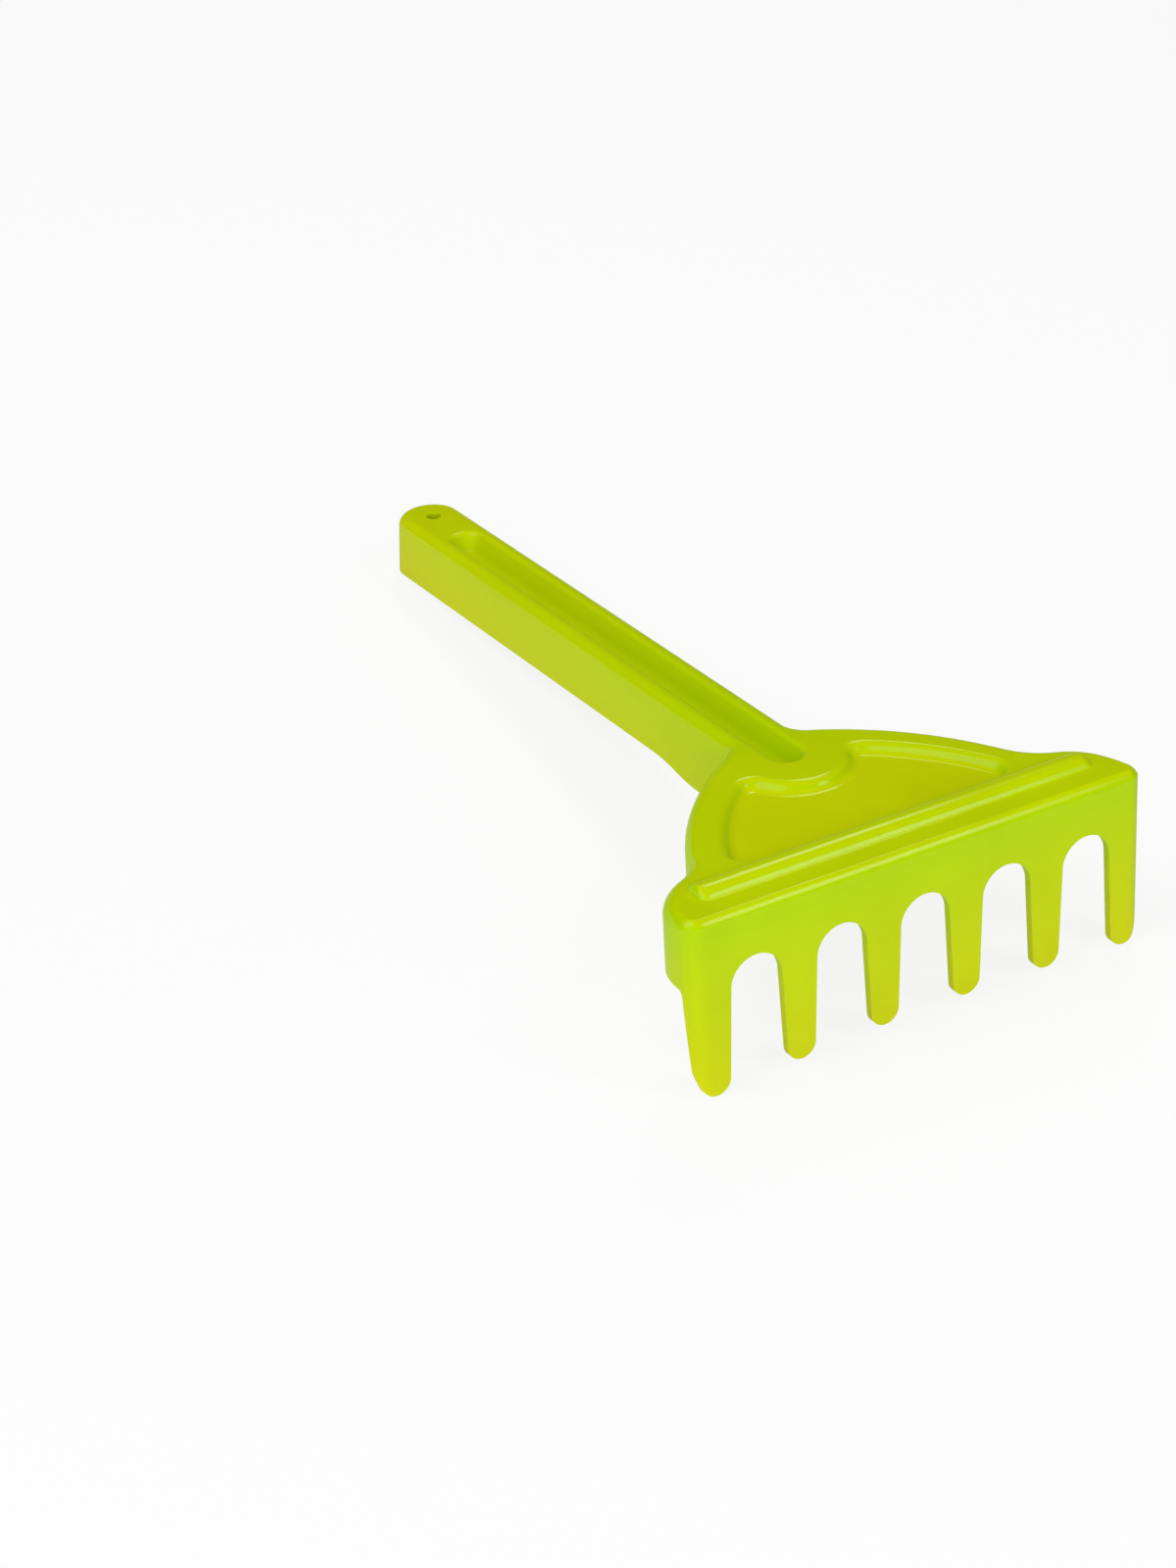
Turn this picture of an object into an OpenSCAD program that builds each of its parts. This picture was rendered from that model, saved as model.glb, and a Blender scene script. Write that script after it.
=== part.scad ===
// Sand rake, a thin-walled moulding. Millimetres, +Z up.
// Modules build it level: X along the bar, y = 0 on the front face, +Y to the handle end.
// pose() then lays it on the floor on its end tine tips and its handle end.

/* [Head] */
// Width of the head over its end cheeks
head_width = 121; // [117:0.5:125]
// Height of the head from the end tine tips to the ledge
head_height = 43.6; // [41:0.5:47]
// Depth of the bar from the front face to its back edge
bar_depth = 20; // [19:0.5:21]
// Plan radius of the bar's back corners
back_corner_r = 9; // [8:0.5:10]
// Straight run between a back corner and the waist
back_run = 0.7; // [0.5:0.1:2]
// Plan radius of the front corners
front_corner_r = 3; // [2.6:0.1:3.6]
// Height of the skirt round the head
skirt_height = 17.6; // [16.8:0.2:18]

/* [Fan] */
// Plan radius of the fan's sides
lobe_r = 80.5; // [78:0.5:83]
// Distance of the side arcs' centres in front of the front face
lobe_front = 6.3; // [5.5:0.1:7]
// Plan radius of the waist between bar and fan
waist_r = 5; // [4:0.5:6]
// Plan radius where the fan runs into the handle
neck_r = 8; // [7:0.5:9]
// Width of the rim to the top of its inner slope
rim_flat = 6.8; // [6.2:0.2:7.4]
// Width of the rim to the foot of its inner slope
rim_width = 12; // [11.4:0.2:12.6]
// Depth of the panel below the rim
panel_depth = 2.2; // [1.6:0.2:2.6]
// Distance of the handle foot's centre behind the front face
collar_y = 52; // [51:0.5:53]
// Radius of the handle foot at the panel
collar_r = 16; // [15:0.5:17]

/* [Handle] */
// Length from the front face to the handle end
reach = 235; // [225:1:250]
// Width of the handle
handle_width = 18; // [17:0.5:19]
// Height of the handle's side skirts
handle_height = 15.3; // [14.5:0.1:16]
// Width of the finger groove
groove_width = 9.2; // [8.4:0.2:10]
// Depth of the finger groove
groove_depth = 3.8; // [3.2:0.2:4.2]
// Groove's end near the head, from the front face
groove_start = 49; // [48:0.5:52]
// Solid length between the groove and the handle end
groove_stop = 24; // [22:0.5:26]
// Radius of the hanging hole
hole_r = 2; // [1.5:0.1:2.5]
// Distance of the hanging hole from the handle end
hole_inset = 11; // [9:0.5:13]
// Where the skirt starts to get shallower, from the front face
kink_start = 78; // [74:1:82]
// Where the skirt reaches the handle's height
kink_stop = 99; // [94:1:104]

/* [Tines] */
// Number of gaps between tines
gaps = 5; // [4:1:6]
// Distance of an end tine's centre line from the side
end_inset = 5.5; // [5.2:0.1:5.8]
// Radius of the slot crowns
slot_r = 6.2; // [5.8:0.1:6.4]
// Depth of the slot crowns below the ledge
crown_drop = 12; // [11.6:0.2:13]
// Radius of the tine tips
tip_r = 3.5; // [3.2:0.1:3.6]
// Rise of the middle tips over the end tips
tip_arc = 2.25; // [0:0.25:4]
// Height at which an end tine reaches the full head width
flare_height = 10; // [9:0.5:12]
// Depth of an end tine's side flange at its root
flange_depth = 4.4; // [4:0.1:5]

/* [Walls] */
// Wall thickness
wall = 2; // [1.6:0.1:2.2]
// Thickness of the top skin
skin = 2.2; // [1.8:0.1:2.4]
// Bevel on the outer top edges
bevel = 1.6; // [1:0.2:2]
// Bevel on the front top edge
front_bevel = 0.6; // [0.4:0.1:1]
// Rise of the bead over the ledge
bead_rise = 2; // [1.5:0.1:2.2]
// Section radius of the bead
bead_r = 4.4; // [4:0.1:4.8]
// Distance of the bead's axis behind the front face
bead_y = 11.3; // [10.5:0.1:11.8]
// Length of the bead
bead_length = 105; // [98:1:106]

/* [Hidden] */
$fa = 4;
$fs = 0.6;
half_w = head_width / 2;
half_h = handle_width / 2;
top = head_height;
back_x = half_w - back_corner_r;
back_y = bar_depth - back_corner_r;
front_x = half_w - front_corner_r;
waist_x = back_x - back_run;
waist_y = bar_depth + waist_r;
waist_far = sqrt(pow(lobe_r + waist_r, 2) - pow(waist_y + lobe_front, 2));
lobe_x = waist_far - waist_x;
waist_a = atan2(waist_y + lobe_front, waist_far);
neck_x = half_h + neck_r;
neck_far = sqrt(pow(lobe_r + neck_r, 2) - pow(neck_x + lobe_x, 2));
neck_y = neck_far - lobe_front;
neck_a = atan2(neck_far, neck_x + lobe_x);
rim_r = lobe_r - rim_width;
ledge_x = rim_r * cos(waist_a) - lobe_x;
ledge_y = rim_r * sin(waist_a) - lobe_front;
collar_in_x = rim_r * cos(neck_a) - lobe_x;
collar_in_y = rim_r * sin(neck_a) - lobe_front;
slope_run = rim_width - rim_flat;
panel_top = top - panel_depth;
panel_z = panel_top - skin;
skin_z = top - skin;
web_top = top - groove_depth;
web_z = web_top - skin;
skirt_z = top - skirt_height;
handle_z = top - handle_height;
end_y = reach - half_h;
end_start = reach - groove_stop + wall;
pitch = (head_width - 2 * end_inset) / gaps;
root_z = top - crown_drop - slot_r;
root_half = pitch / 2 - slot_r;
rest_pitch = atan2(handle_z, reach - wall);
rest_mid = (reach * cos(rest_pitch) + (top - bevel) * sin(rest_pitch)) / 2;
plastic = [0.70, 0.83, 0.02];

// Lays the level rake on the floor
module pose() {
    translate([0, -rest_mid, wall * sin(rest_pitch)])
        rotate([-rest_pitch, 0, 0])
            color(plastic) children();
}

// Both sides of something made on the right
module both() {
    children();
    mirror([1, 0, 0]) children();
}

// Section across the handle or along the bar, run along Y from y0 to y1
module run_y(y0, y1) {
    translate([0, y1, 0]) rotate([90, 0, 0]) linear_extrude(y1 - y0) children();
}

// Section in y and z, run along X from x0 to x1
module run_x(x0, x1) {
    translate([x0, 0, 0]) rotate([90, 0, 90]) linear_extrude(x1 - x0) children();
}

// Section swept about a vertical axis at x, y from angle a0 to a1
module sweep(x, y, a0, a1) {
    translate([x, y, 0]) rotate([0, 0, a0]) rotate_extrude(angle = a1 - a0) children();
}

module slab(z0, z1) {
    translate([0, 0, z0]) linear_extrude(z1 - z0) children();
}

// Plan of the space inside both rims
module inside_rims(r) {
    intersection() {
        translate([-lobe_x, -lobe_front]) circle(r);
        translate([lobe_x, -lobe_front]) circle(r);
    }
}

// Plan of the finger groove
module groove() {
    first = groove_start + groove_width / 2;
    last = reach - groove_stop - groove_width / 2;
    translate([0, first]) circle(groove_width / 2);
    translate([-groove_width / 2, first]) square([groove_width, last - first]);
    translate([0, last]) circle(groove_width / 2);
}

// Rim with its skirt, in distance from the outer wall and height
module rim_section() {
    polygon([[0, skirt_z], [0, top - bevel], [bevel, top], [rim_flat, top], [rim_width, panel_top],
        [rim_width, panel_z], [wall, panel_z], [wall, skirt_z]]);
}

// Outer edge of the bar with its skirt down to z and its top skin of some width
module edge_section(z, width = front_corner_r) {
    polygon([[0, z], [0, top - bevel], [bevel, top], [width, top], [width, skin_z], [wall, skin_z], [wall, z]]);
}

module fan_rim_right() {
    pose() sweep(-lobe_x, -lobe_front, waist_a, neck_a) translate([lobe_r, 0]) mirror([1, 0]) rim_section();
}

module fan_rim_left() {
    mirror([1, 0, 0]) fan_rim_right();
}

// Sunken panel with the slope up to the ledge
module fan_panel() {
    pose() difference() {
        intersection() {
            run_x(-half_w, half_w) polygon([[ledge_y, top], [ledge_y + slope_run, panel_top], [reach, panel_top],
                [reach, panel_z], [ledge_y, panel_z]]);
            slab(panel_z, top) inside_rims(rim_r);
        }
        translate([0, collar_y, panel_z - 1]) cylinder(r = collar_r, h = top);
    }
}

// Handle foot with the concave sides of the neck
module neck_collar() {
    pose() difference() {
        union() {
            intersection() {
                slab(web_z, top) inside_rims(rim_r);
                union() {
                    translate([0, collar_y, web_z]) cylinder(r = collar_r, h = panel_top - web_z);
                    translate([0, collar_y, panel_top])
                        cylinder(r1 = collar_r, r2 = collar_r - slope_run, h = panel_depth);
                }
            }
            slab(web_z, top) difference() {
                polygon([[collar_in_x, collar_in_y], [neck_x, neck_y], [-neck_x, neck_y],
                    [-collar_in_x, collar_in_y]]);
                translate([neck_x, neck_y]) circle(neck_r);
                translate([-neck_x, neck_y]) circle(neck_r);
            }
            both() sweep(neck_x, neck_y, 180, 180 + neck_a) translate([neck_r, skirt_z])
                square([wall, web_z - skirt_z]);
        }
        slab(web_z - 1, top + 1) groove();
        both() sweep(neck_x, neck_y, 170, 190 + neck_a)
            polygon([[neck_r - 1, top - bevel - 1], [neck_r + bevel + 1, top + 1], [neck_r - 1, top + 1]]);
    }
}

module handle_rail_right() {
    pose() {
        difference() {
            run_y(neck_y, end_start) polygon([[0, web_z], [half_h, web_z], [half_h, top - bevel],
                [half_h - bevel, top], [0, top]]);
            slab(web_z - 1, top + 1) groove();
        }
        run_x(half_h - wall, half_h) polygon([[neck_y, skirt_z], [kink_start, skirt_z],
            [kink_stop, handle_z], [end_start, handle_z], [end_start, web_z], [neck_y, web_z]]);
    }
}

module handle_rail_left() {
    mirror([1, 0, 0]) handle_rail_right();
}

module handle_web() {
    pose() slab(web_z, web_top) groove();
}

module handle_end_section() {
    polygon([[0, skin_z], [half_h - wall, skin_z], [half_h - wall, handle_z], [half_h, handle_z],
        [half_h, top - bevel], [half_h - bevel, top], [0, top]]);
}

module handle_end() {
    pose() difference() {
        union() {
            both() run_y(end_start, end_y) handle_end_section();
            sweep(0, end_y, 0, 180) handle_end_section();
        }
        translate([0, reach - hole_inset, skin_z - 1]) cylinder(r = hole_r, h = skin + 2);
    }
}

// Plan of the ledge's left and right back edge, between a back corner and the rim
function ledge_back(side) = [[side * front_x, back_y], [side * back_x, back_y],
    [side * back_x, bar_depth - front_corner_r], [side * waist_x, bar_depth - front_corner_r],
    [side * waist_x, waist_y], [side * ledge_x, ledge_y]];

module bar_ledge() {
    left = ledge_back(-1);
    pose() difference() {
        slab(skin_z, top) difference() {
            polygon(concat([[-front_x, 0], [front_x, 0]], ledge_back(1), [for (i = [5:-1:0]) left[i]]));
            for (side = [-1, 1]) translate([side * waist_x, waist_y]) circle(waist_r + front_corner_r);
        }
        run_x(-half_w, half_w) polygon([[-1, top - front_bevel - 1], [front_bevel + 1, top + 1], [-1, top + 1]]);
    }
}

module bar_bead() {
    end_x = bead_length / 2 - bead_r;
    pose() intersection() {
        translate([0, bead_y, top + bead_rise - bead_r]) {
            translate([-end_x, 0, 0]) rotate([0, 90, 0]) cylinder(r = bead_r, h = 2 * end_x);
            translate([-end_x, 0, 0]) sphere(bead_r);
            translate([end_x, 0, 0]) sphere(bead_r);
        }
        slab(top, top + bead_r) translate([-half_w, 0]) square([head_width, bar_depth]);
    }
}

module bar_front() {
    pose() run_y(0, wall) difference() {
        translate([-front_x, root_z]) square([2 * front_x, skin_z - root_z]);
        for (i = [1:gaps]) translate([(i - (gaps + 1) / 2) * pitch, root_z]) circle(slot_r);
    }
}

module bar_end_right() {
    pose() {
        sweep(front_x, front_corner_r, -90, 0) translate([front_corner_r, 0]) mirror([1, 0]) edge_section(root_z);
        run_y(front_corner_r, back_y) translate([half_w, 0]) mirror([1, 0]) edge_section(skirt_z);
        sweep(back_x, back_y, 0, 90) translate([back_corner_r, 0]) mirror([1, 0])
            edge_section(skirt_z, back_corner_r);
        translate([0, bar_depth, 0]) mirror([0, 1, 0]) run_x(waist_x, back_x) edge_section(skirt_z);
        sweep(waist_x, waist_y, 180 + waist_a, 270) translate([waist_r, 0]) edge_section(skirt_z);
    }
}

module bar_end_left() {
    mirror([1, 0, 0]) bar_end_right();
}

// Angle at which a tine side that passes through x, z touches the tip circle
function side_a(x, z) = acos(tip_r / norm([x, z])) - atan2(z, x);

// Front outline of a tine about its tip circle, with its outer side reaching half width w at height h
module tine_outline(root_h, w, h) {
    inner = side_a(root_half, root_h);
    outer = side_a(w, h);
    circle(tip_r);
    polygon([[-root_half, root_h], [-tip_r * cos(inner), -tip_r * sin(inner)],
        [tip_r * cos(outer), -tip_r * sin(outer)], [w, h], [w, root_h]]);
}

module tine(i) {
    step = i - gaps / 2 - 1;
    tip_z = tip_arc * (1 - pow(step / (gaps / 2), 2)) + tip_r;
    pose() run_y(0, wall) translate([step * pitch, tip_z])
        tine_outline(root_z - tip_z, root_half, root_z - tip_z);
}

// End tine, whose wall turns round the front corner
module end_tine() {
    x = half_w - end_inset;
    pose() intersection() {
        slab(0, root_z) {
            translate([x - root_half, 0]) square([front_x - x + root_half, wall]);
            intersection() {
                difference() {
                    translate([front_x, front_corner_r]) circle(front_corner_r);
                    translate([front_x, front_corner_r]) circle(front_corner_r - wall);
                }
                translate([front_x, 0]) square(front_corner_r);
            }
            translate([half_w - wall, front_corner_r]) square([wall, flange_depth - front_corner_r]);
        }
        run_y(0, flange_depth) translate([x, tip_r])
            tine_outline(root_z - tip_r, end_inset, flare_height - tip_r);
        run_x(0, half_w) polygon([[0, 0], [wall, 0], [wall, tip_r], [flange_depth, root_z], [0, root_z]]);
    }
}

module tine_1() {
    mirror([1, 0, 0]) end_tine();
}

module tine_2() {
    tine(2);
}

module tine_3() {
    tine(3);
}

module tine_4() {
    tine(4);
}

module tine_5() {
    tine(5);
}

module tine_6() {
    end_tine();
}

handle_end();
handle_rail_left();
handle_rail_right();
handle_web();
neck_collar();
fan_panel();
fan_rim_left();
fan_rim_right();
bar_ledge();
bar_bead();
bar_front();
bar_end_left();
bar_end_right();
tine_1();
tine_2();
tine_3();
tine_4();
tine_5();
tine_6();
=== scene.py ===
# Sand rake: one thin-walled moulding in glossy lime polypropylene, lying on its tine tips and handle end.
import math

import bmesh
import bpy
from mathutils import Matrix, Vector


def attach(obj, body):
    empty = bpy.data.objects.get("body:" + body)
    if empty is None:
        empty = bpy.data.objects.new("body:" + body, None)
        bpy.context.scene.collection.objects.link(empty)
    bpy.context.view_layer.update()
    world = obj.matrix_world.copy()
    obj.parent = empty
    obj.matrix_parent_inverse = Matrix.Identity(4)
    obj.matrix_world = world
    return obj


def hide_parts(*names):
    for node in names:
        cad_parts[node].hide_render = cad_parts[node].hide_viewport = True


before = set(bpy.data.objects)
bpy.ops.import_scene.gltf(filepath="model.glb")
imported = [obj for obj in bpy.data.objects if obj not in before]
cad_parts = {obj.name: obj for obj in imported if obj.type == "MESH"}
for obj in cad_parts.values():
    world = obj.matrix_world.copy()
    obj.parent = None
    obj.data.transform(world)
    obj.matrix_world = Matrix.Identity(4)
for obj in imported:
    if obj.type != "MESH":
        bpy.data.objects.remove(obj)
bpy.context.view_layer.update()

# Sizes of the moulding in millimetres. It is drawn level: X along the bar, y = 0 on the front face,
# +Y to the handle end, z = 0 at the end tine tips. lay_down() then rests it on the floor.
MM = 0.001
HEAD_WIDTH = 120.9
HEAD_HEIGHT = 43.6
END_DEPTH = 5.95
BACK_CORNER = 16.4
FRONT_CORNER = 4.2
WALL = 2
SKIN = 2.2
LOBE_R = 79.6
LOBE_X = 28.4
LOBE_FRONT = 6.4
WAIST_R = 14.9
NECK_R = 6.4
HANDLE_TOP = 17
HANDLE_DRAFT = 0.065
REACH = 235
END_ROUND = 9

# Outer top edge: its radius at four distances behind the front face, and its flattening along the front
FRONT_EDGE_Y = 4
FRONT_EDGE_R = 2.0
END_EDGE_Y = 11
FAN_EDGE_Y = 32
HEAD_EDGE_R = 4.2
HANDLE_EDGE_Y = 60
HANDLE_EDGE_R = 2.8
EDGE_RADII = ((FRONT_EDGE_Y, FRONT_EDGE_R), (END_EDGE_Y, HEAD_EDGE_R),
              (FAN_EDGE_Y, HEAD_EDGE_R), (HANDLE_EDGE_Y, HANDLE_EDGE_R))
EDGE_STEPS = 10
FRONT_FLAT = 0.6

# Angle between faces up to which they shade smooth
SMOOTH_ANGLE = math.radians(40)

# Sunken heart-shaped panel of the fan, and the foot of the handle that stands in it
RIM_FLAT = 6.8
PANEL_FRONT = 15.6
PANEL_DEPTH = 2.2
PANEL_SLOPE = 4.8
PANEL_FRONT_SLOPE = 3.6
PANEL_CORNER_R = 6.2
EAR_R = 5.8
COLLAR_Y = 52
COLLAR_TOP_R = 11

# Finger groove and hanging hole of the handle
GROOVE_HALF = 5.5
GROOVE_DEPTH = 5
GROOVE_START = 49
GROOVE_STOP = 211
GROOVE_EDGE_R = 1.8
GROOVE_FOOT_R = 2
GROOVE_LEAN = math.radians(62)
GROOVE_WALL = 1
HOLE_Y = 224
HOLE_R = 2.0

# Stiffening bead along the ledge
BEAD_Y = 11.3
BEAD_R = 4.4
BEAD_FOOT_R = 0.7
BEAD_RISE = 1.95
BEAD_HALF_LENGTH = 52.3
BEAD_CREST = 0.1
BEAD_CORNER_R = 2
BEAD_END_RUN = 0.5

# Lower edge of the skirt and the handle, and the flanges of the end tines
SKIRT_Z = 26.2
HANDLE_Z = 28.35
KINK_START = 78
KINK_STOP = 99
FLANGE_TOP = 3.9
FLANGE_FOOT = 2.1
FLANGE_FOOT_Z = 6
FLANGE_FILLET = 1.6

# Tines
TINES = 6
END_INSET = 5.45
CROWN_Z = 31.6
SLOT_R = 6.5
TIP_R = 3.6
TIP_ARC = 2.25
FLARE_X = 60.45
FLARE_Z = 7.8

# How far the cutters reach past the moulding
CUT_BELOW = 6
COMB_CUT_ASIDE = 6
COMB_CUT_FRONT = 3
COMB_CUT_DEPTH = 12
COMB_LIP = 0.5
COMB_LIP_RISE = 4
SKIRT_CUT_ASIDE = 8
SKIRT_CUT_BEYOND = 20
HOLE_CUT_PAST = 4

# Drawn vertices this close become one, a vertex this close belongs to a place, and shorter steps are left out
MERGE_REACH = 0.001
MIRROR_REACH = 0.002
PLACE_REACH = 0.008
SHORTEST_RUN = 0.0001
SHORTEST_FLANK = 0.01

# The same rest pose as the construction, by two of its own sizes: end tine tips and handle end on the floor
CAD_HANDLE_Z = 28.3
CAD_BEVEL = 1.6
REST_PITCH = math.atan2(CAD_HANDLE_Z, REACH - WALL)
REST_MID = (REACH * math.cos(REST_PITCH) + (HEAD_HEIGHT - CAD_BEVEL) * math.sin(REST_PITCH)) / 2
REST = (Matrix.Scale(MM, 4) @ Matrix.Translation((0, -REST_MID, WALL * math.sin(REST_PITCH)))
        @ Matrix.Rotation(-REST_PITCH, 4, "X"))

# Camera, fitted to the photograph in the level frame
CAMERA_AZIMUTH = math.radians(-29.02)
CAMERA_ELEVATION = math.radians(27.81)
CAMERA_ROLL = math.radians(-3.46)
CAMERA_DISTANCE = 772.47
CAMERA_SHIFT = (-75.23, 51.84)
CAMERA_LENS = 79.81
CAMERA_SENSOR = 36

# Studio in metres and watts. FLOOR_GLOW is the floor's share of plain white to the camera and in reflections.
FLOOR_SIZE = 60
FLOOR_GLOW = 0.86
ROOM_LIGHT = 0.05
PAPER_WHITE = "#F4F4F4"

# Lamps: name, direction in the level frame, distance, width, height and power
SOFTBOX = (1.6, 0.36, 0.5, 5)
LAMPS = (
    ("back_softbox", (0.43, 0.44, 0.79), *SOFTBOX),
    ("front_softbox", (0.43, -0.59, 0.68), *SOFTBOX),
    ("overhead_panel", (-0.58, 0, 0.81), 1.4, 1.0, 1.0, 9.8),
    ("front_panel", (-0.2, -0.95, 0.25), 1.0, 1.4, 0.5, 5.0),
    ("left_panel", (-0.9, -0.35, 0.25), 1.0, 0.7, 0.5, 1.7),
)

# Painted light: a yellower lime stands in for light shining through the plastic, below TIP_TINT_TOP, and on
# the fan's upper side up to the handle
LIME = "#B5D700"
PAINTED_LIGHT_LIME = "#D1D700"
TIP_TINT_TOP = 40
FAN_TINT_END = 68
FAN_TINT_RUN = 16
RIM_TINT = 0.4
PANEL_TINT = 0.66

# What moulding leaves on the surface, in millimetres
STREAK_WIDTH = 22
GLOSS_PATCH = 6
SINK_WIDTH = 14
SINK_DEPTH = 0.15
GRAIN_WIDTH = 0.5
GRAIN_DEPTH = 0.05


def touching_circle(radius_a, centre_a, radius_b, centre_b):
    """Centre that lies at two distances from two others, on the right of the way from one to the other."""
    a, b = Vector(centre_a), Vector(centre_b)
    gap = (b - a).length
    along = (gap ** 2 + radius_a ** 2 - radius_b ** 2) / (2 * gap)
    side = math.sqrt(radius_a ** 2 - along ** 2)
    way = (b - a) / gap
    spot = a + way * along + Vector((way.y, -way.x)) * side
    return spot.x, spot.y


def angle_to(centre, spot):
    """Direction from a centre to a spot in degrees."""
    return math.degrees(math.atan2(spot[1] - centre[1], spot[0] - centre[0]))


def share_between(value, start, stop):
    """How far a value is on its way from start to stop, from 0 to 1."""
    return min(max((value - start) / (stop - start), 0), 1)


def slope_profile(near_r, far_r, steepest, drop, steps):
    """Steps across and down a rounded edge, a straight flank and a rounded foot."""
    straight = (drop - (near_r + far_r) * (1 - math.cos(steepest))) / math.sin(steepest)
    spots = [(0, 0)]
    for step in range(1, steps + 1):
        angle = steepest * step / steps
        spots.append((near_r * math.sin(angle), near_r * (1 - math.cos(angle))))
    across = spots[-1][0] + straight * math.cos(steepest)
    down = spots[-1][1] + straight * math.sin(steepest)
    if straight > SHORTEST_FLANK:
        spots.append((across, down))
    for step in range(1, steps + 1):
        angle = steepest * (1 - step / steps)
        spots.append((across + far_r * (math.sin(steepest) - math.sin(angle)),
                      down + far_r * (math.cos(angle) - math.cos(steepest))))
    return spots


# Places worked out from the sizes: back, lobe and waist are the centres of the outline's arcs
half_width = HEAD_WIDTH / 2
front_x = half_width - FRONT_CORNER
back = (half_width - BACK_CORNER, END_DEPTH)
lobe = (-LOBE_X, -LOBE_FRONT)
waist = touching_circle(BACK_CORNER + WAIST_R, back, LOBE_R + WAIST_R, lobe)
end_y = REACH - END_ROUND
groove_near = GROOVE_START + GROOVE_HALF
groove_far = GROOVE_STOP - GROOVE_HALF
pitch = (HEAD_WIDTH - 2 * END_INSET) / (TINES - 1)
root_z = CROWN_Z - SLOT_R
level_axis = (0, math.sin(REST_PITCH), math.cos(REST_PITCH))
level_top = (REST @ Vector((0, 0, HEAD_HEIGHT))).dot(Vector(level_axis))
fan_end = (REST @ Vector((0, FAN_TINT_END, HEAD_HEIGHT))).y

# Sections of the slopes, worked out from the sizes
panel_steepest = 2 * math.atan(PANEL_DEPTH / PANEL_SLOPE)
panel_r = PANEL_SLOPE / math.sin(panel_steepest) / 2
panel_profile = slope_profile(panel_r, panel_r, panel_steepest, PANEL_DEPTH, steps=8)
groove_profile = slope_profile(GROOVE_EDGE_R, GROOVE_FOOT_R, GROOVE_LEAN, GROOVE_DEPTH, steps=6)
bead_steepest = math.acos(1 - BEAD_RISE / (BEAD_R + BEAD_FOOT_R))
bead_half = (BEAD_R + BEAD_FOOT_R) * math.sin(bead_steepest) + BEAD_CREST
bead_profile = slope_profile(BEAD_FOOT_R, BEAD_R, bead_steepest, BEAD_RISE, steps=10)


def start_piece(name):
    """Opens a new empty mesh in edit mode."""
    bpy.ops.object.select_all(action="DESELECT")
    bpy.ops.mesh.primitive_circle_add(vertices=3, radius=1)
    piece = bpy.context.object
    piece.name = name
    bpy.ops.object.mode_set(mode="EDIT")
    bpy.ops.mesh.delete(type="VERT")
    return piece


class Pen:
    """Draws a line in edit mode, in one plane of the level frame: straight runs by extrude, arcs by spin."""

    PLANES = {"XY": ((1, 0, 0), (0, 1, 0)), "XZ": ((1, 0, 0), (0, 0, 1)), "YZ": ((0, 1, 0), (0, 0, 1))}

    def __init__(self, u, v, height, plane="XY"):
        self.across, self.along = (Vector(axis) for axis in self.PLANES[plane])
        self.axis = self.across.cross(self.along)
        self.base = Vector(abs(part) for part in self.axis) * height
        self.points = [self.place(u, v)]
        bpy.ops.mesh.select_all(action="DESELECT")
        bpy.ops.mesh.primitive_circle_add(vertices=3, radius=1, location=self.place(u, v))
        bpy.ops.mesh.merge(type="CENTER")

    def place(self, u, v):
        """A point of the plane in the level frame."""
        return self.base + self.across * u + self.along * v

    def follow(self, spots):
        """Straight on from spot to spot."""
        for spot in spots:
            step = spot - self.points[-1]
            if step.length > SHORTEST_RUN:
                bpy.ops.mesh.extrude_vertices_move(TRANSFORM_OT_translate={"value": step})
                self.points.append(spot)

    def run(self, u, v):
        """Straight on to a point of the plane."""
        self.follow([self.place(u, v)])

    def turn(self, centre, radius, first, last, steps):
        """Round a centre from one angle to another, in degrees."""
        u, v = centre
        self.run(u + radius * math.cos(math.radians(first)), v + radius * math.sin(math.radians(first)))
        bpy.ops.mesh.spin(steps=steps, angle=math.radians(first - last),
                          center=self.place(u, v), axis=self.axis)
        for step in range(1, steps + 1):
            angle = math.radians(first + (last - first) * step / steps)
            self.points.append(self.place(u + radius * math.cos(angle), v + radius * math.sin(angle)))


def draw_outline(z, inset):
    """Half outline of the moulding at a height, from the front round to the handle end, with mould draft."""
    handle = HANDLE_TOP / 2 + HANDLE_DRAFT * (HEAD_HEIGHT - z)
    neck_x = handle + NECK_R
    neck = (neck_x, math.sqrt((LOBE_R + NECK_R) ** 2 - (neck_x + LOBE_X) ** 2) - LOBE_FRONT)
    pen = Pen(0, inset, z)
    pen.turn((front_x, FRONT_CORNER), FRONT_CORNER - inset, -90, 0, steps=12)
    pen.turn(back, BACK_CORNER - inset, 0, angle_to(back, waist), steps=24)
    pen.turn(waist, WAIST_R + inset, angle_to(waist, back) % 360, angle_to(waist, lobe) % 360, steps=20)
    pen.turn(lobe, LOBE_R - inset, angle_to(lobe, waist), angle_to(lobe, neck), steps=36)
    pen.turn(neck, NECK_R + inset, angle_to(neck, lobe) % 360, 180, steps=16)
    pen.turn((0, end_y), handle - inset, 0, 90, steps=24)
    return pen


def draw_groove(pen, half):
    """On from the handle end down the middle and round the finger groove."""
    pen.run(0, groove_far + half)
    mark = len(pen.points) - 1
    pen.turn((0, groove_far), half, 90, 0, steps=20)
    pen.turn((0, groove_near), half, 0, -90, steps=20)
    return pen.points[mark:]


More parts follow.
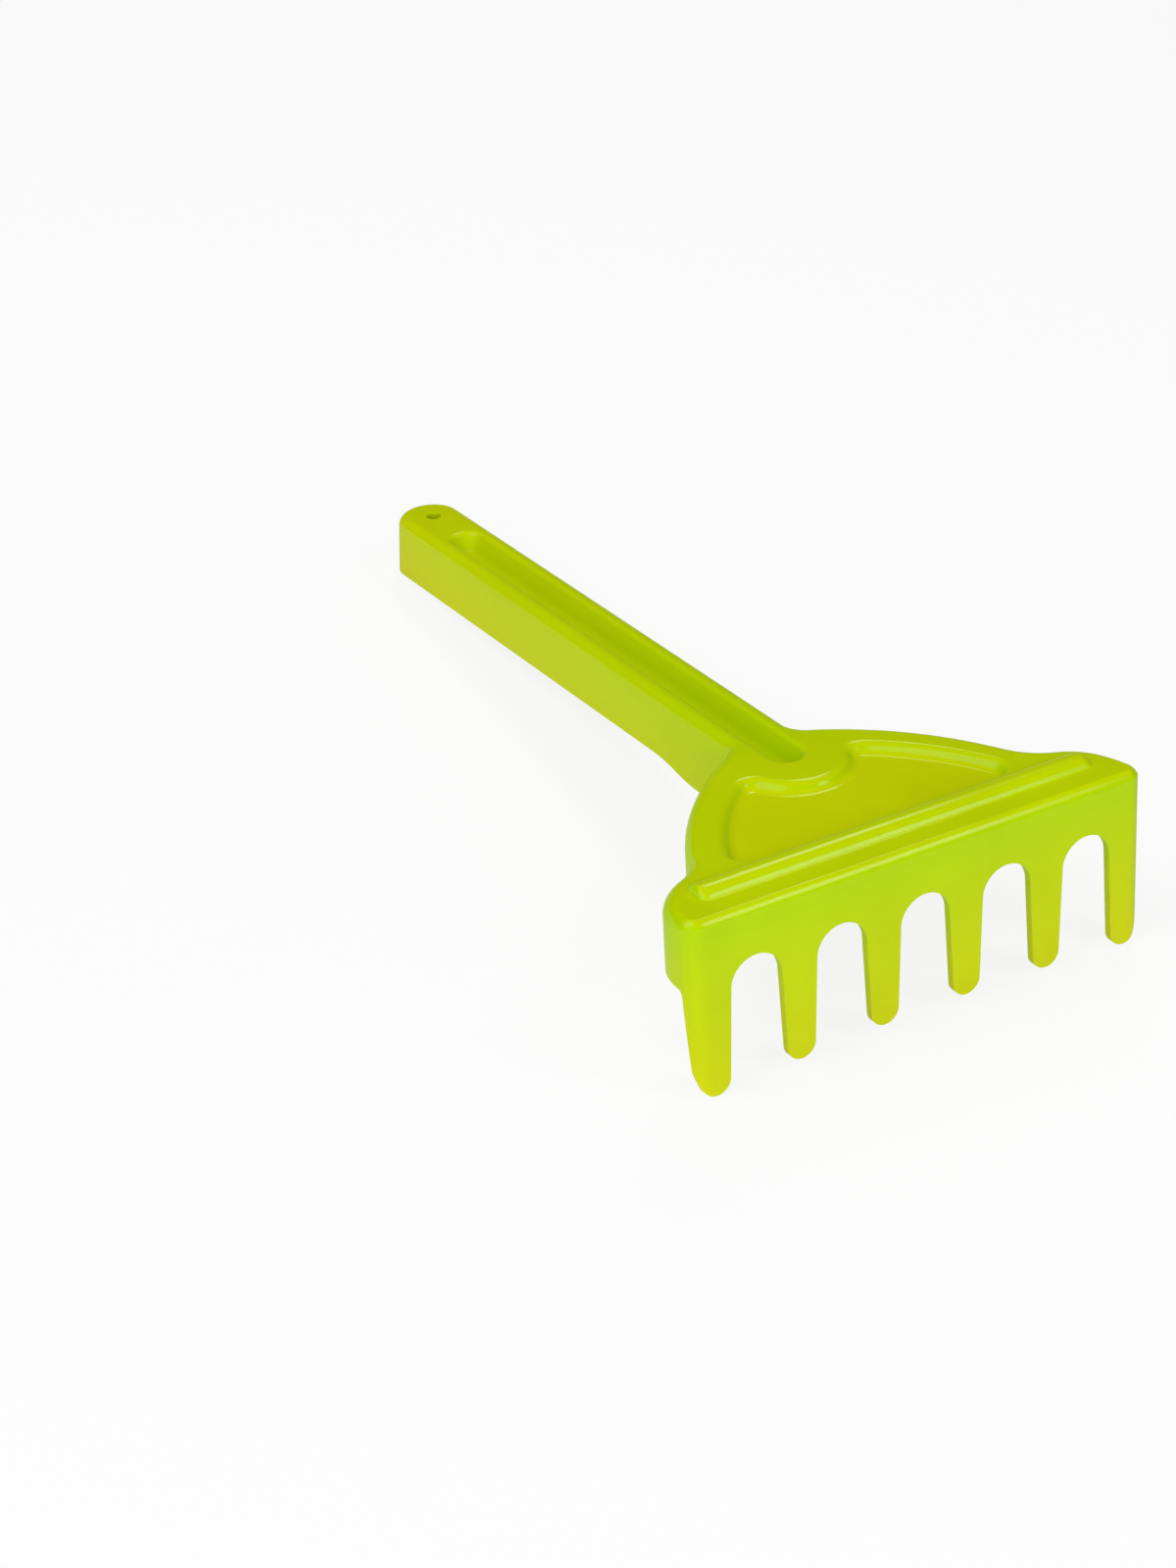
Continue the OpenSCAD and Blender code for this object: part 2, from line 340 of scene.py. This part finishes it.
def draw_panel(pen, share):
    """On round the panel at a share of its slope: handle foot, ear, rim, front corner and front edge."""
    across = PANEL_SLOPE * share
    front = PANEL_FRONT + PANEL_FRONT_SLOPE * share
    rim_r = LOBE_R - RIM_FLAT - across
    collar = (0, COLLAR_Y)
    collar_r = COLLAR_TOP_R + across
    ear_r = EAR_R - across
    ear = touching_circle(rim_r - ear_r, lobe, collar_r + ear_r, collar)
    corner_r = PANEL_CORNER_R - across
    corner_y = front + corner_r
    corner = (math.sqrt((rim_r - corner_r) ** 2 - (corner_y + LOBE_FRONT) ** 2) - LOBE_X, corner_y)
    to_ear = angle_to(collar, ear)
    ear_out = angle_to(lobe, ear)
    corner_out = angle_to(lobe, corner)
    pen.run(0, COLLAR_Y - collar_r)
    mark = len(pen.points) - 1
    pen.turn(collar, collar_r, -90, to_ear, steps=24)
    pen.turn(ear, ear_r, 180 + to_ear, ear_out, steps=24)
    pen.turn(lobe, rim_r, ear_out, corner_out, steps=28)
    pen.turn(corner, corner_r, corner_out, -90, steps=18)
    pen.run(0, front)
    return pen.points[mark:]


def draw_bead(pen, half):
    """On round the bead at a half width, with a steep, square end."""
    corner_r = min(BEAD_CORNER_R, half)
    corner_x = BEAD_HALF_LENGTH - BEAD_END_RUN * (bead_half - half) - corner_r
    pen.run(0, BEAD_Y + half)
    mark = len(pen.points) - 1
    pen.turn((corner_x, BEAD_Y + half - corner_r), corner_r, 90, 0, steps=12)
    pen.turn((corner_x, BEAD_Y - half + corner_r), corner_r, 0, -90, steps=12)
    pen.run(0, BEAD_Y - half)
    return pen.points[mark:]


def edge_radius(y):
    """Radius of the outer top edge: tight along the front, full round the ends, less on the handle."""
    radius = FRONT_EDGE_R
    for (start, first), (stop, last) in zip(EDGE_RADII, EDGE_RADII[1:]):
        radius += (last - first) * share_between(y, start, stop)
    return radius


def round_over(guide, angle):
    """Places of a line on the rounded top edge, at an angle up from the wall, nearer a bevel at the front."""
    # Both ends of the guide lie on the middle plane, so the neighbour that each lacks is a mirrored one
    flip = Vector((-1, 1, 1))
    befores = [guide[1] * flip] + guide[:-1]
    afters = guide[1:] + [guide[-2] * flip]
    share = angle / math.radians(90)
    places = []
    for before, spot, after in zip(befores, guide, afters):
        way = (after - before).normalized()
        radius = edge_radius(spot.y)
        flat = FRONT_FLAT * share_between(spot.y, END_EDGE_Y, FRONT_EDGE_Y)
        inward = radius * ((1 - flat) * (1 - math.cos(angle)) + flat * share)
        down = radius * ((1 - flat) * (1 - math.sin(angle)) + flat * (1 - share))
        places.append(spot + Vector((-way.y, way.x, 0)) * inward - Vector((0, 0, down)))
    return places


def select_places(piece, places):
    """Selects the vertices that lie at the places, and the edges and faces between them."""
    mesh = bmesh.from_edit_mesh(piece.data)
    near = set()
    for spot in places:
        a, b, c = (round(part / PLACE_REACH) for part in spot)
        near.update((a + i, b + j, c + k) for i in (-1, 0, 1) for j in (-1, 0, 1) for k in (-1, 0, 1))
    bpy.ops.mesh.select_all(action="DESELECT")
    for vert in mesh.verts:
        vert.select_set(tuple(round(part / PLACE_REACH) for part in vert.co) in near)
    mesh.select_flush(True)
    bmesh.update_edit_mesh(piece.data)


def fill(piece, places):
    """Closes a line of places with a face."""
    select_places(piece, places)
    bpy.ops.mesh.edge_face_add()


def bridge(piece, *lines):
    """Walls from each drawn line to the next."""
    for first, second in zip(lines, lines[1:]):
        select_places(piece, first + second)
        bpy.ops.mesh.bridge_edge_loops()


def merge_doubles():
    """Makes one vertex of those that share a place, and leaves all selected."""
    bpy.ops.mesh.select_all(action="SELECT")
    bpy.ops.mesh.remove_doubles(threshold=MERGE_REACH)


def apply(piece, kind, **settings):
    """Adds a modifier and applies it."""
    bpy.context.view_layer.objects.active = piece
    modifier = piece.modifiers.new(kind.lower(), kind)
    for name, value in settings.items():
        setattr(modifier, name, value)
    bpy.ops.object.modifier_apply(modifier=modifier.name)


def add_depth(groove_lines, panel_lines, z, top_half):
    """Adds the lines down the finger groove and the sunken panel to their first ones."""
    for across, down in groove_profile[1:]:
        half = top_half - across
        groove_lines.append(draw_groove(Pen(0, groove_far + half, z - down), half))
    for across, down in panel_profile[1:]:
        share = across / PANEL_SLOPE
        panel_lines.append(draw_panel(Pen(0, COLLAR_Y - COLLAR_TOP_R - across, z - down), share))


def make_half_shell():
    """Right half of the moulding: top with its sunken and raised forms, drafted walls, hollow below."""
    piece = start_piece("moulded_rake")
    guide = draw_outline(HEAD_HEIGHT, 0).points
    bpy.ops.mesh.select_all(action="SELECT")
    bpy.ops.mesh.delete(type="VERT")
    edge_lines = [round_over(guide, math.radians(90) * step / EDGE_STEPS) for step in range(EDGE_STEPS + 1)]
    for line in edge_lines[:-1]:
        Pen(line[0].x, line[0].y, line[0].z).follow(line[1:])
    top = Pen(0, edge_lines[-1][0].y, HEAD_HEIGHT)
    top.follow(edge_lines[-1][1:])
    groove_lines = [draw_groove(top, GROOVE_HALF)]
    panel_lines = [draw_panel(top, 0)]
    bead_lines = [draw_bead(top, bead_half)]
    top.follow(top.points[:1])
    add_depth(groove_lines, panel_lines, HEAD_HEIGHT, GROOVE_HALF)
    for across, down in bead_profile[1:]:
        half = bead_half - across
        bead_lines.append(draw_bead(Pen(0, BEAD_Y + half, HEAD_HEIGHT + down), half))

    outer_foot = draw_outline(0, 0).points
    inner_foot = draw_outline(0, WALL).points
    ceiling = draw_outline(HEAD_HEIGHT - SKIN, WALL)
    inner_top = list(ceiling.points)
    under_groove = [draw_groove(ceiling, GROOVE_HALF + GROOVE_WALL)]
    under_panel = [draw_panel(ceiling, 0)]
    ceiling.follow(ceiling.points[:1])
    add_depth(under_groove, under_panel, HEAD_HEIGHT - SKIN, GROOVE_HALF + GROOVE_WALL)
    merge_doubles()

    bridge(piece, inner_top, inner_foot, outer_foot, *edge_lines)
    for lines in (groove_lines, panel_lines, bead_lines, under_groove, under_panel):
        bridge(piece, *lines)
        fill(piece, lines[-1])
    fill(piece, top.points)
    fill(piece, ceiling.points)
    bpy.ops.object.mode_set(mode="OBJECT")
    return piece


def make_prism(reach):
    """Closed prism from the closed line in the open mesh, as far and in the direction that reach says."""
    merge_doubles()
    bpy.ops.mesh.edge_face_add()
    bpy.ops.mesh.extrude_region_move(TRANSFORM_OT_translate={"value": reach})
    bpy.ops.mesh.select_all(action="SELECT")
    bpy.ops.mesh.normals_make_consistent(inside=False)
    bpy.ops.object.mode_set(mode="OBJECT")


def side_angle(x, z):
    """Lean of a tine's side that passes x, z and touches the tip circle at the origin."""
    return math.degrees(math.acos(TIP_R / math.hypot(x, z)) - math.atan2(z, x))


def make_comb_cutter():
    """Everything below the comb of tines, seen from the front."""
    cutter = start_piece("comb_cutter")
    outside = half_width + COMB_CUT_ASIDE
    lip_x = FLARE_X + COMB_LIP
    lip_z = FLARE_Z + COMB_LIP_RISE
    middle = (TINES - 1) / 2
    pen = Pen(-outside, -CUT_BELOW, -COMB_CUT_FRONT, "XZ")
    pen.run(-outside, lip_z)
    pen.run(-lip_x, lip_z)
    pen.run(-FLARE_X, FLARE_Z)
    for number in range(TINES):
        place = number - middle
        x = place * pitch
        z = TIP_ARC * (1 - (place / middle) ** 2) + TIP_R
        inner = side_angle(pitch / 2 - SLOT_R, root_z - z)
        outer = side_angle(FLARE_X - half_width + END_INSET, FLARE_Z - z)
        left = outer if number == 0 else inner
        right = outer if number == TINES - 1 else inner
        pen.turn((x, z), TIP_R, 180 + left, 360 - right, steps=28)
        if number < TINES - 1:
            pen.turn((x + pitch / 2, root_z), SLOT_R, 180, 0, steps=36)
    pen.run(FLARE_X, FLARE_Z)
    pen.run(lip_x, lip_z)
    pen.run(outside, lip_z)
    pen.run(outside, -CUT_BELOW)
    pen.run(-outside, -CUT_BELOW)
    make_prism((0, COMB_CUT_DEPTH, 0))
    return cutter


def make_skirt_cutter():
    """Everything below the skirt, seen from the side, behind the flanges of the end tines."""
    cutter = start_piece("skirt_cutter")
    pen = Pen(FLANGE_FOOT, -CUT_BELOW, -half_width - SKIRT_CUT_ASIDE, "YZ")
    pen.run(FLANGE_FOOT, FLANGE_FOOT_Z)
    lean = math.degrees(math.atan2(FLANGE_TOP - FLANGE_FOOT, SKIRT_Z - FLANGE_FOOT_Z))
    fillet = (FLANGE_TOP + FLANGE_FILLET, SKIRT_Z - FLANGE_FILLET)
    pen.turn(fillet, FLANGE_FILLET, 180 - lean, 90, steps=10)
    length = KINK_STOP - KINK_START
    bend = 2 * math.degrees(math.atan2(HANDLE_Z - SKIRT_Z, length))
    bend_r = length / 2 / math.sin(math.radians(bend))
    pen.turn((KINK_START, SKIRT_Z + bend_r), bend_r, -90, -90 + bend, steps=12)
    pen.turn((KINK_STOP, HANDLE_Z - bend_r), bend_r, 90 + bend, 90, steps=12)
    pen.run(REACH + SKIRT_CUT_BEYOND, HANDLE_Z)
    pen.run(REACH + SKIRT_CUT_BEYOND, -CUT_BELOW)
    pen.run(FLANGE_FOOT, -CUT_BELOW)
    make_prism((HEAD_WIDTH + 2 * SKIRT_CUT_ASIDE, 0, 0))
    return cutter


def make_hole_cutter():
    """Pin that leaves the hanging hole."""
    cutter = start_piece("hole_cutter")
    pen = Pen(HOLE_R, HOLE_Y, HEAD_HEIGHT - SKIN - HOLE_CUT_PAST)
    pen.turn((0, HOLE_Y), HOLE_R, 0, 360, steps=48)
    make_prism((0, 0, SKIN + 2 * HOLE_CUT_PAST))
    return cutter


def cut(piece, cutter):
    """Takes a cutter's shape out of a piece."""
    apply(piece, "BOOLEAN", operation="DIFFERENCE", object=cutter, solver="EXACT")
    bpy.data.objects.remove(cutter, do_unlink=True)


def make_rake():
    """The whole moulding: two mirrored halves, cut to the skirt, the tines and the hanging hole."""
    piece = make_half_shell()
    apply(piece, "MIRROR", use_axis=(True, False, False), use_clip=True, merge_threshold=MIRROR_REACH)
    bpy.ops.object.mode_set(mode="EDIT")
    merge_doubles()
    bpy.ops.mesh.normals_make_consistent(inside=False)
    bpy.ops.object.mode_set(mode="OBJECT")
    for cutter in (make_skirt_cutter(), make_comb_cutter(), make_hole_cutter()):
        cut(piece, cutter)
    return piece


def lay_down(piece):
    """Puts the level piece on the floor and bakes its place into the mesh."""
    bpy.ops.object.select_all(action="DESELECT")
    piece.select_set(True)
    bpy.context.view_layer.objects.active = piece
    piece.matrix_world = REST @ piece.matrix_world
    bpy.ops.object.transform_apply(location=True, rotation=True, scale=True)


def linear(hex_colour):
    """An sRGB hex colour as linear red, green and blue, with full alpha."""
    parts = [int(hex_colour[i:i + 2], 16) / 255 for i in (1, 3, 5)]
    return tuple(p / 12.92 if p <= 0.04045 else ((p + 0.055) / 1.055) ** 2.4 for p in parts) + (1,)


def add_node(tree, kind, values=None, links=None, **settings):
    """Adds a node with its settings, socket values and links."""
    node = tree.nodes.new(kind)
    for name, value in settings.items():
        setattr(node, name, value)
    for socket, value in (values or {}).items():
        node.inputs[socket].default_value = value
    for socket, source in (links or {}).items():
        tree.links.new(source, node.inputs[socket])
    return node


def lime_polypropylene():
    """Injection-moulded polypropylene: saturated lime with a soft moulded gloss.

    Painted light: the tines turn yellower towards their tips, and the fan's upper side does too, a tint
    that stands in for light shining through the plastic.
    """
    material = bpy.data.materials.new("lime_polypropylene")
    material.use_nodes = True
    tree = material.node_tree
    shader = tree.nodes["Principled BSDF"]
    # The gloss is the coat's: the smooth skin that a polished mould leaves
    shader.inputs["Specular IOR Level"].default_value = 0
    shader.inputs["Coat Weight"].default_value = 0.25
    shader.inputs["Coat Roughness"].default_value = 0.12
    shader.inputs["Coat IOR"].default_value = 1.49
    spot = add_node(tree, "ShaderNodeTexCoord").outputs["Object"]
    normal = add_node(tree, "ShaderNodeNewGeometry").outputs["Normal"]
    place = add_node(tree, "ShaderNodeSeparateXYZ", links={"Vector": spot})
    facing = add_node(tree, "ShaderNodeSeparateXYZ", links={"Vector": normal})

    # Painted light that stands in for light shining through the plastic: yellower towards the tips, and on
    # the fan's upper side, most in the panel
    tip_painted_light = add_node(tree, "ShaderNodeMapRange",
                         {"From Min": TIP_TINT_TOP * MM, "From Max": 0, "To Min": 0, "To Max": 1},
                         {"Value": place.outputs["Z"]})
    level = add_node(tree, "ShaderNodeVectorMath", {1: level_axis}, {0: spot}, operation="DOT_PRODUCT")
    depth = add_node(tree, "ShaderNodeMapRange",
                     {"From Min": level_top, "From Max": level_top - PANEL_DEPTH * MM,
                      "To Min": RIM_TINT, "To Max": PANEL_TINT},
                     {"Value": level.outputs["Value"]})
    on_fan = add_node(tree, "ShaderNodeMapRange",
                      {"From Min": fan_end, "From Max": fan_end - FAN_TINT_RUN * MM,
                       "To Min": 0, "To Max": 1},
                      {"Value": place.outputs["Y"]}, interpolation_type="SMOOTHSTEP")
    upward = add_node(tree, "ShaderNodeMapRange",
                      {"From Min": 0.6, "From Max": 0.95, "To Min": 0, "To Max": 1},
                      {"Value": facing.outputs["Z"]}, interpolation_type="SMOOTHSTEP")
    fan_top = add_node(tree, "ShaderNodeMath", links={0: on_fan.outputs[0], 1: upward.outputs[0]},
                       operation="MULTIPLY")
    fan_painted_light = add_node(tree, "ShaderNodeMath", links={0: fan_top.outputs[0], 1: depth.outputs[0]},
                     operation="MULTIPLY")
    # Whichever painted light is stronger sets the share of the yellower lime
    painted_light = add_node(tree, "ShaderNodeMath", links={0: tip_painted_light.outputs[0], 1: fan_painted_light.outputs[0]},
                    operation="MAXIMUM")
    tint = add_node(tree, "ShaderNodeMix", {"A": linear(LIME), "B": linear(PAINTED_LIGHT_LIME)},
                    {"Factor": painted_light.outputs[0]}, data_type="RGBA")

    # Faint flow streaks from the melt, along the handle
    stretch = add_node(tree, "ShaderNodeMapping", {"Scale": (1, 0.35, 1)}, {"Vector": spot})
    flow = add_node(tree, "ShaderNodeTexNoise", {"Scale": 1 / (STREAK_WIDTH * MM), "Detail": 3},
                    {"Vector": stretch.outputs["Vector"]})
    shade = add_node(tree, "ShaderNodeMapRange",
                     {"From Min": 0.3, "From Max": 0.7, "To Min": 0.965, "To Max": 1.02},
                     {"Value": flow.outputs["Fac"]})
    colour = add_node(tree, "ShaderNodeVectorMath",
                      links={0: tint.outputs["Result"], "Scale": shade.outputs[0]}, operation="SCALE")
    tree.links.new(colour.outputs["Vector"], shader.inputs["Base Color"])

    # Polished mould with a trace of texture: slight sink waves and a fine grain. It doesn't show here,
    # where the coat has all the gloss.
    gloss = add_node(tree, "ShaderNodeTexNoise", {"Scale": 1 / (GLOSS_PATCH * MM), "Detail": 4},
                     {"Vector": spot})
    rough = add_node(tree, "ShaderNodeMapRange",
                     {"From Min": 0.3, "From Max": 0.7, "To Min": 0.3, "To Max": 0.4},
                     {"Value": gloss.outputs["Fac"]})
    tree.links.new(rough.outputs[0], shader.inputs["Roughness"])
    waves = add_node(tree, "ShaderNodeTexNoise", {"Scale": 1 / (SINK_WIDTH * MM), "Detail": 1},
                     {"Vector": spot})
    grain = add_node(tree, "ShaderNodeTexNoise", {"Scale": 1 / (GRAIN_WIDTH * MM), "Detail": 2},
                     {"Vector": spot})
    wavy = add_node(tree, "ShaderNodeBump", {"Strength": 0.5, "Distance": SINK_DEPTH * MM},
                    {"Height": waves.outputs["Fac"]})
    grainy = add_node(tree, "ShaderNodeBump", {"Strength": 0.08, "Distance": GRAIN_DEPTH * MM},
                      {"Height": grain.outputs["Fac"], "Normal": wavy.outputs["Normal"]})
    for socket in ("Normal", "Coat Normal"):
        tree.links.new(grainy.outputs["Normal"], shader.inputs[socket])
    return material


def white_paper():
    """Matt paper: nearly plain white to the camera and in reflections, with the piece's shadow on it."""
    material = bpy.data.materials.new("white_paper")
    material.use_nodes = True
    tree = material.node_tree
    shader = tree.nodes["Principled BSDF"]
    shader.inputs["Base Color"].default_value = linear(PAPER_WHITE)
    shader.inputs["Roughness"].default_value = 0.8
    shader.inputs["Specular IOR Level"].default_value = 0.1
    rays = add_node(tree, "ShaderNodeLightPath").outputs
    seen = add_node(tree, "ShaderNodeMath", links={0: rays["Is Camera Ray"], 1: rays["Is Glossy Ray"]},
                    operation="MAXIMUM")
    seen = add_node(tree, "ShaderNodeMath", links={0: seen.outputs[0], 1: rays["Is Transmission Ray"]},
                    operation="MAXIMUM")
    share = add_node(tree, "ShaderNodeMath", {1: FLOOR_GLOW}, {0: seen.outputs[0]}, operation="MULTIPLY")
    white = add_node(tree, "ShaderNodeEmission")
    mix = add_node(tree, "ShaderNodeMixShader",
                   links={0: share.outputs[0], 1: shader.outputs["BSDF"], 2: white.outputs["Emission"]})
    tree.links.new(mix.outputs["Shader"], tree.nodes["Material Output"].inputs["Surface"])
    return material


def make_camera():
    """Camera at the photograph's view."""
    azimuth, elevation, roll = CAMERA_AZIMUTH, CAMERA_ELEVATION, CAMERA_ROLL
    away = Vector((math.sin(azimuth) * math.cos(elevation), -math.cos(azimuth) * math.cos(elevation),
                   math.sin(elevation)))
    right = Vector((math.cos(azimuth), math.sin(azimuth), 0))
    up = away.cross(right)
    rolled_right = right * math.cos(roll) + up * math.sin(roll)
    rolled_up = up * math.cos(roll) - right * math.sin(roll)
    level = Matrix((rolled_right, rolled_up, away)).transposed().to_4x4()
    level.translation = rolled_right * CAMERA_SHIFT[0] + rolled_up * CAMERA_SHIFT[1] + away * CAMERA_DISTANCE
    bpy.ops.object.camera_add()
    camera = bpy.context.object
    camera.data.sensor_width = CAMERA_SENSOR
    camera.data.lens = CAMERA_LENS
    camera.data.clip_start = 0.01
    spot, turn, _ = (REST @ level).decompose()
    camera.location = spot
    camera.rotation_euler = turn.to_euler()
    bpy.context.scene.camera = camera


def add_lamp(name, towards, distance, width, height, power):
    """Area lamp, its width along the bar, that shines at the middle of the piece from a direction."""
    way = REST.to_3x3().normalized() @ Vector(towards).normalized()
    side = Vector((1, 0, 0)) - way * way.x
    side.normalize()
    bpy.ops.object.light_add(type="AREA", location=way * distance)
    lamp = bpy.context.object
    lamp.name = name
    lamp.data.shape = "RECTANGLE"
    lamp.data.size = width
    lamp.data.size_y = height
    lamp.data.energy = power
    lamp.rotation_euler = Matrix((side, way.cross(side), way)).transposed().to_euler()


def make_studio():
    """White paper floor, dim room, two small softboxes for lines of light and broad panels for the fill."""
    bpy.ops.mesh.primitive_plane_add(size=FLOOR_SIZE)
    floor = bpy.context.object
    floor.name = "floor"
    floor.data.materials.append(white_paper())
    world = bpy.data.worlds.new("studio")
    world.use_nodes = True
    room = world.node_tree.nodes["Background"]
    room.inputs["Color"].default_value = (1, 1, 1, 1)
    room.inputs["Strength"].default_value = ROOM_LIGHT
    bpy.context.scene.world = world
    for lamp in LAMPS:
        add_lamp(*lamp)


rake = make_rake()
lay_down(rake)
rake.data.materials.append(lime_polypropylene())
bpy.ops.object.shade_smooth_by_angle(angle=SMOOTH_ANGLE)
apply(rake, "WEIGHTED_NORMAL", mode="FACE_AREA", weight=50, keep_sharp=True)
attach(rake, "root")
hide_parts("handle_end", "handle_rail_left", "handle_rail_right", "handle_web", "neck_collar",
            "fan_panel", "fan_rim_left", "fan_rim_right", "bar_ledge", "bar_bead", "bar_front",
            "bar_end_left", "bar_end_right", *("tine_%d" % number for number in range(1, TINES + 1)))
make_camera()
make_studio()
bpy.context.scene.view_settings.view_transform = "Standard"
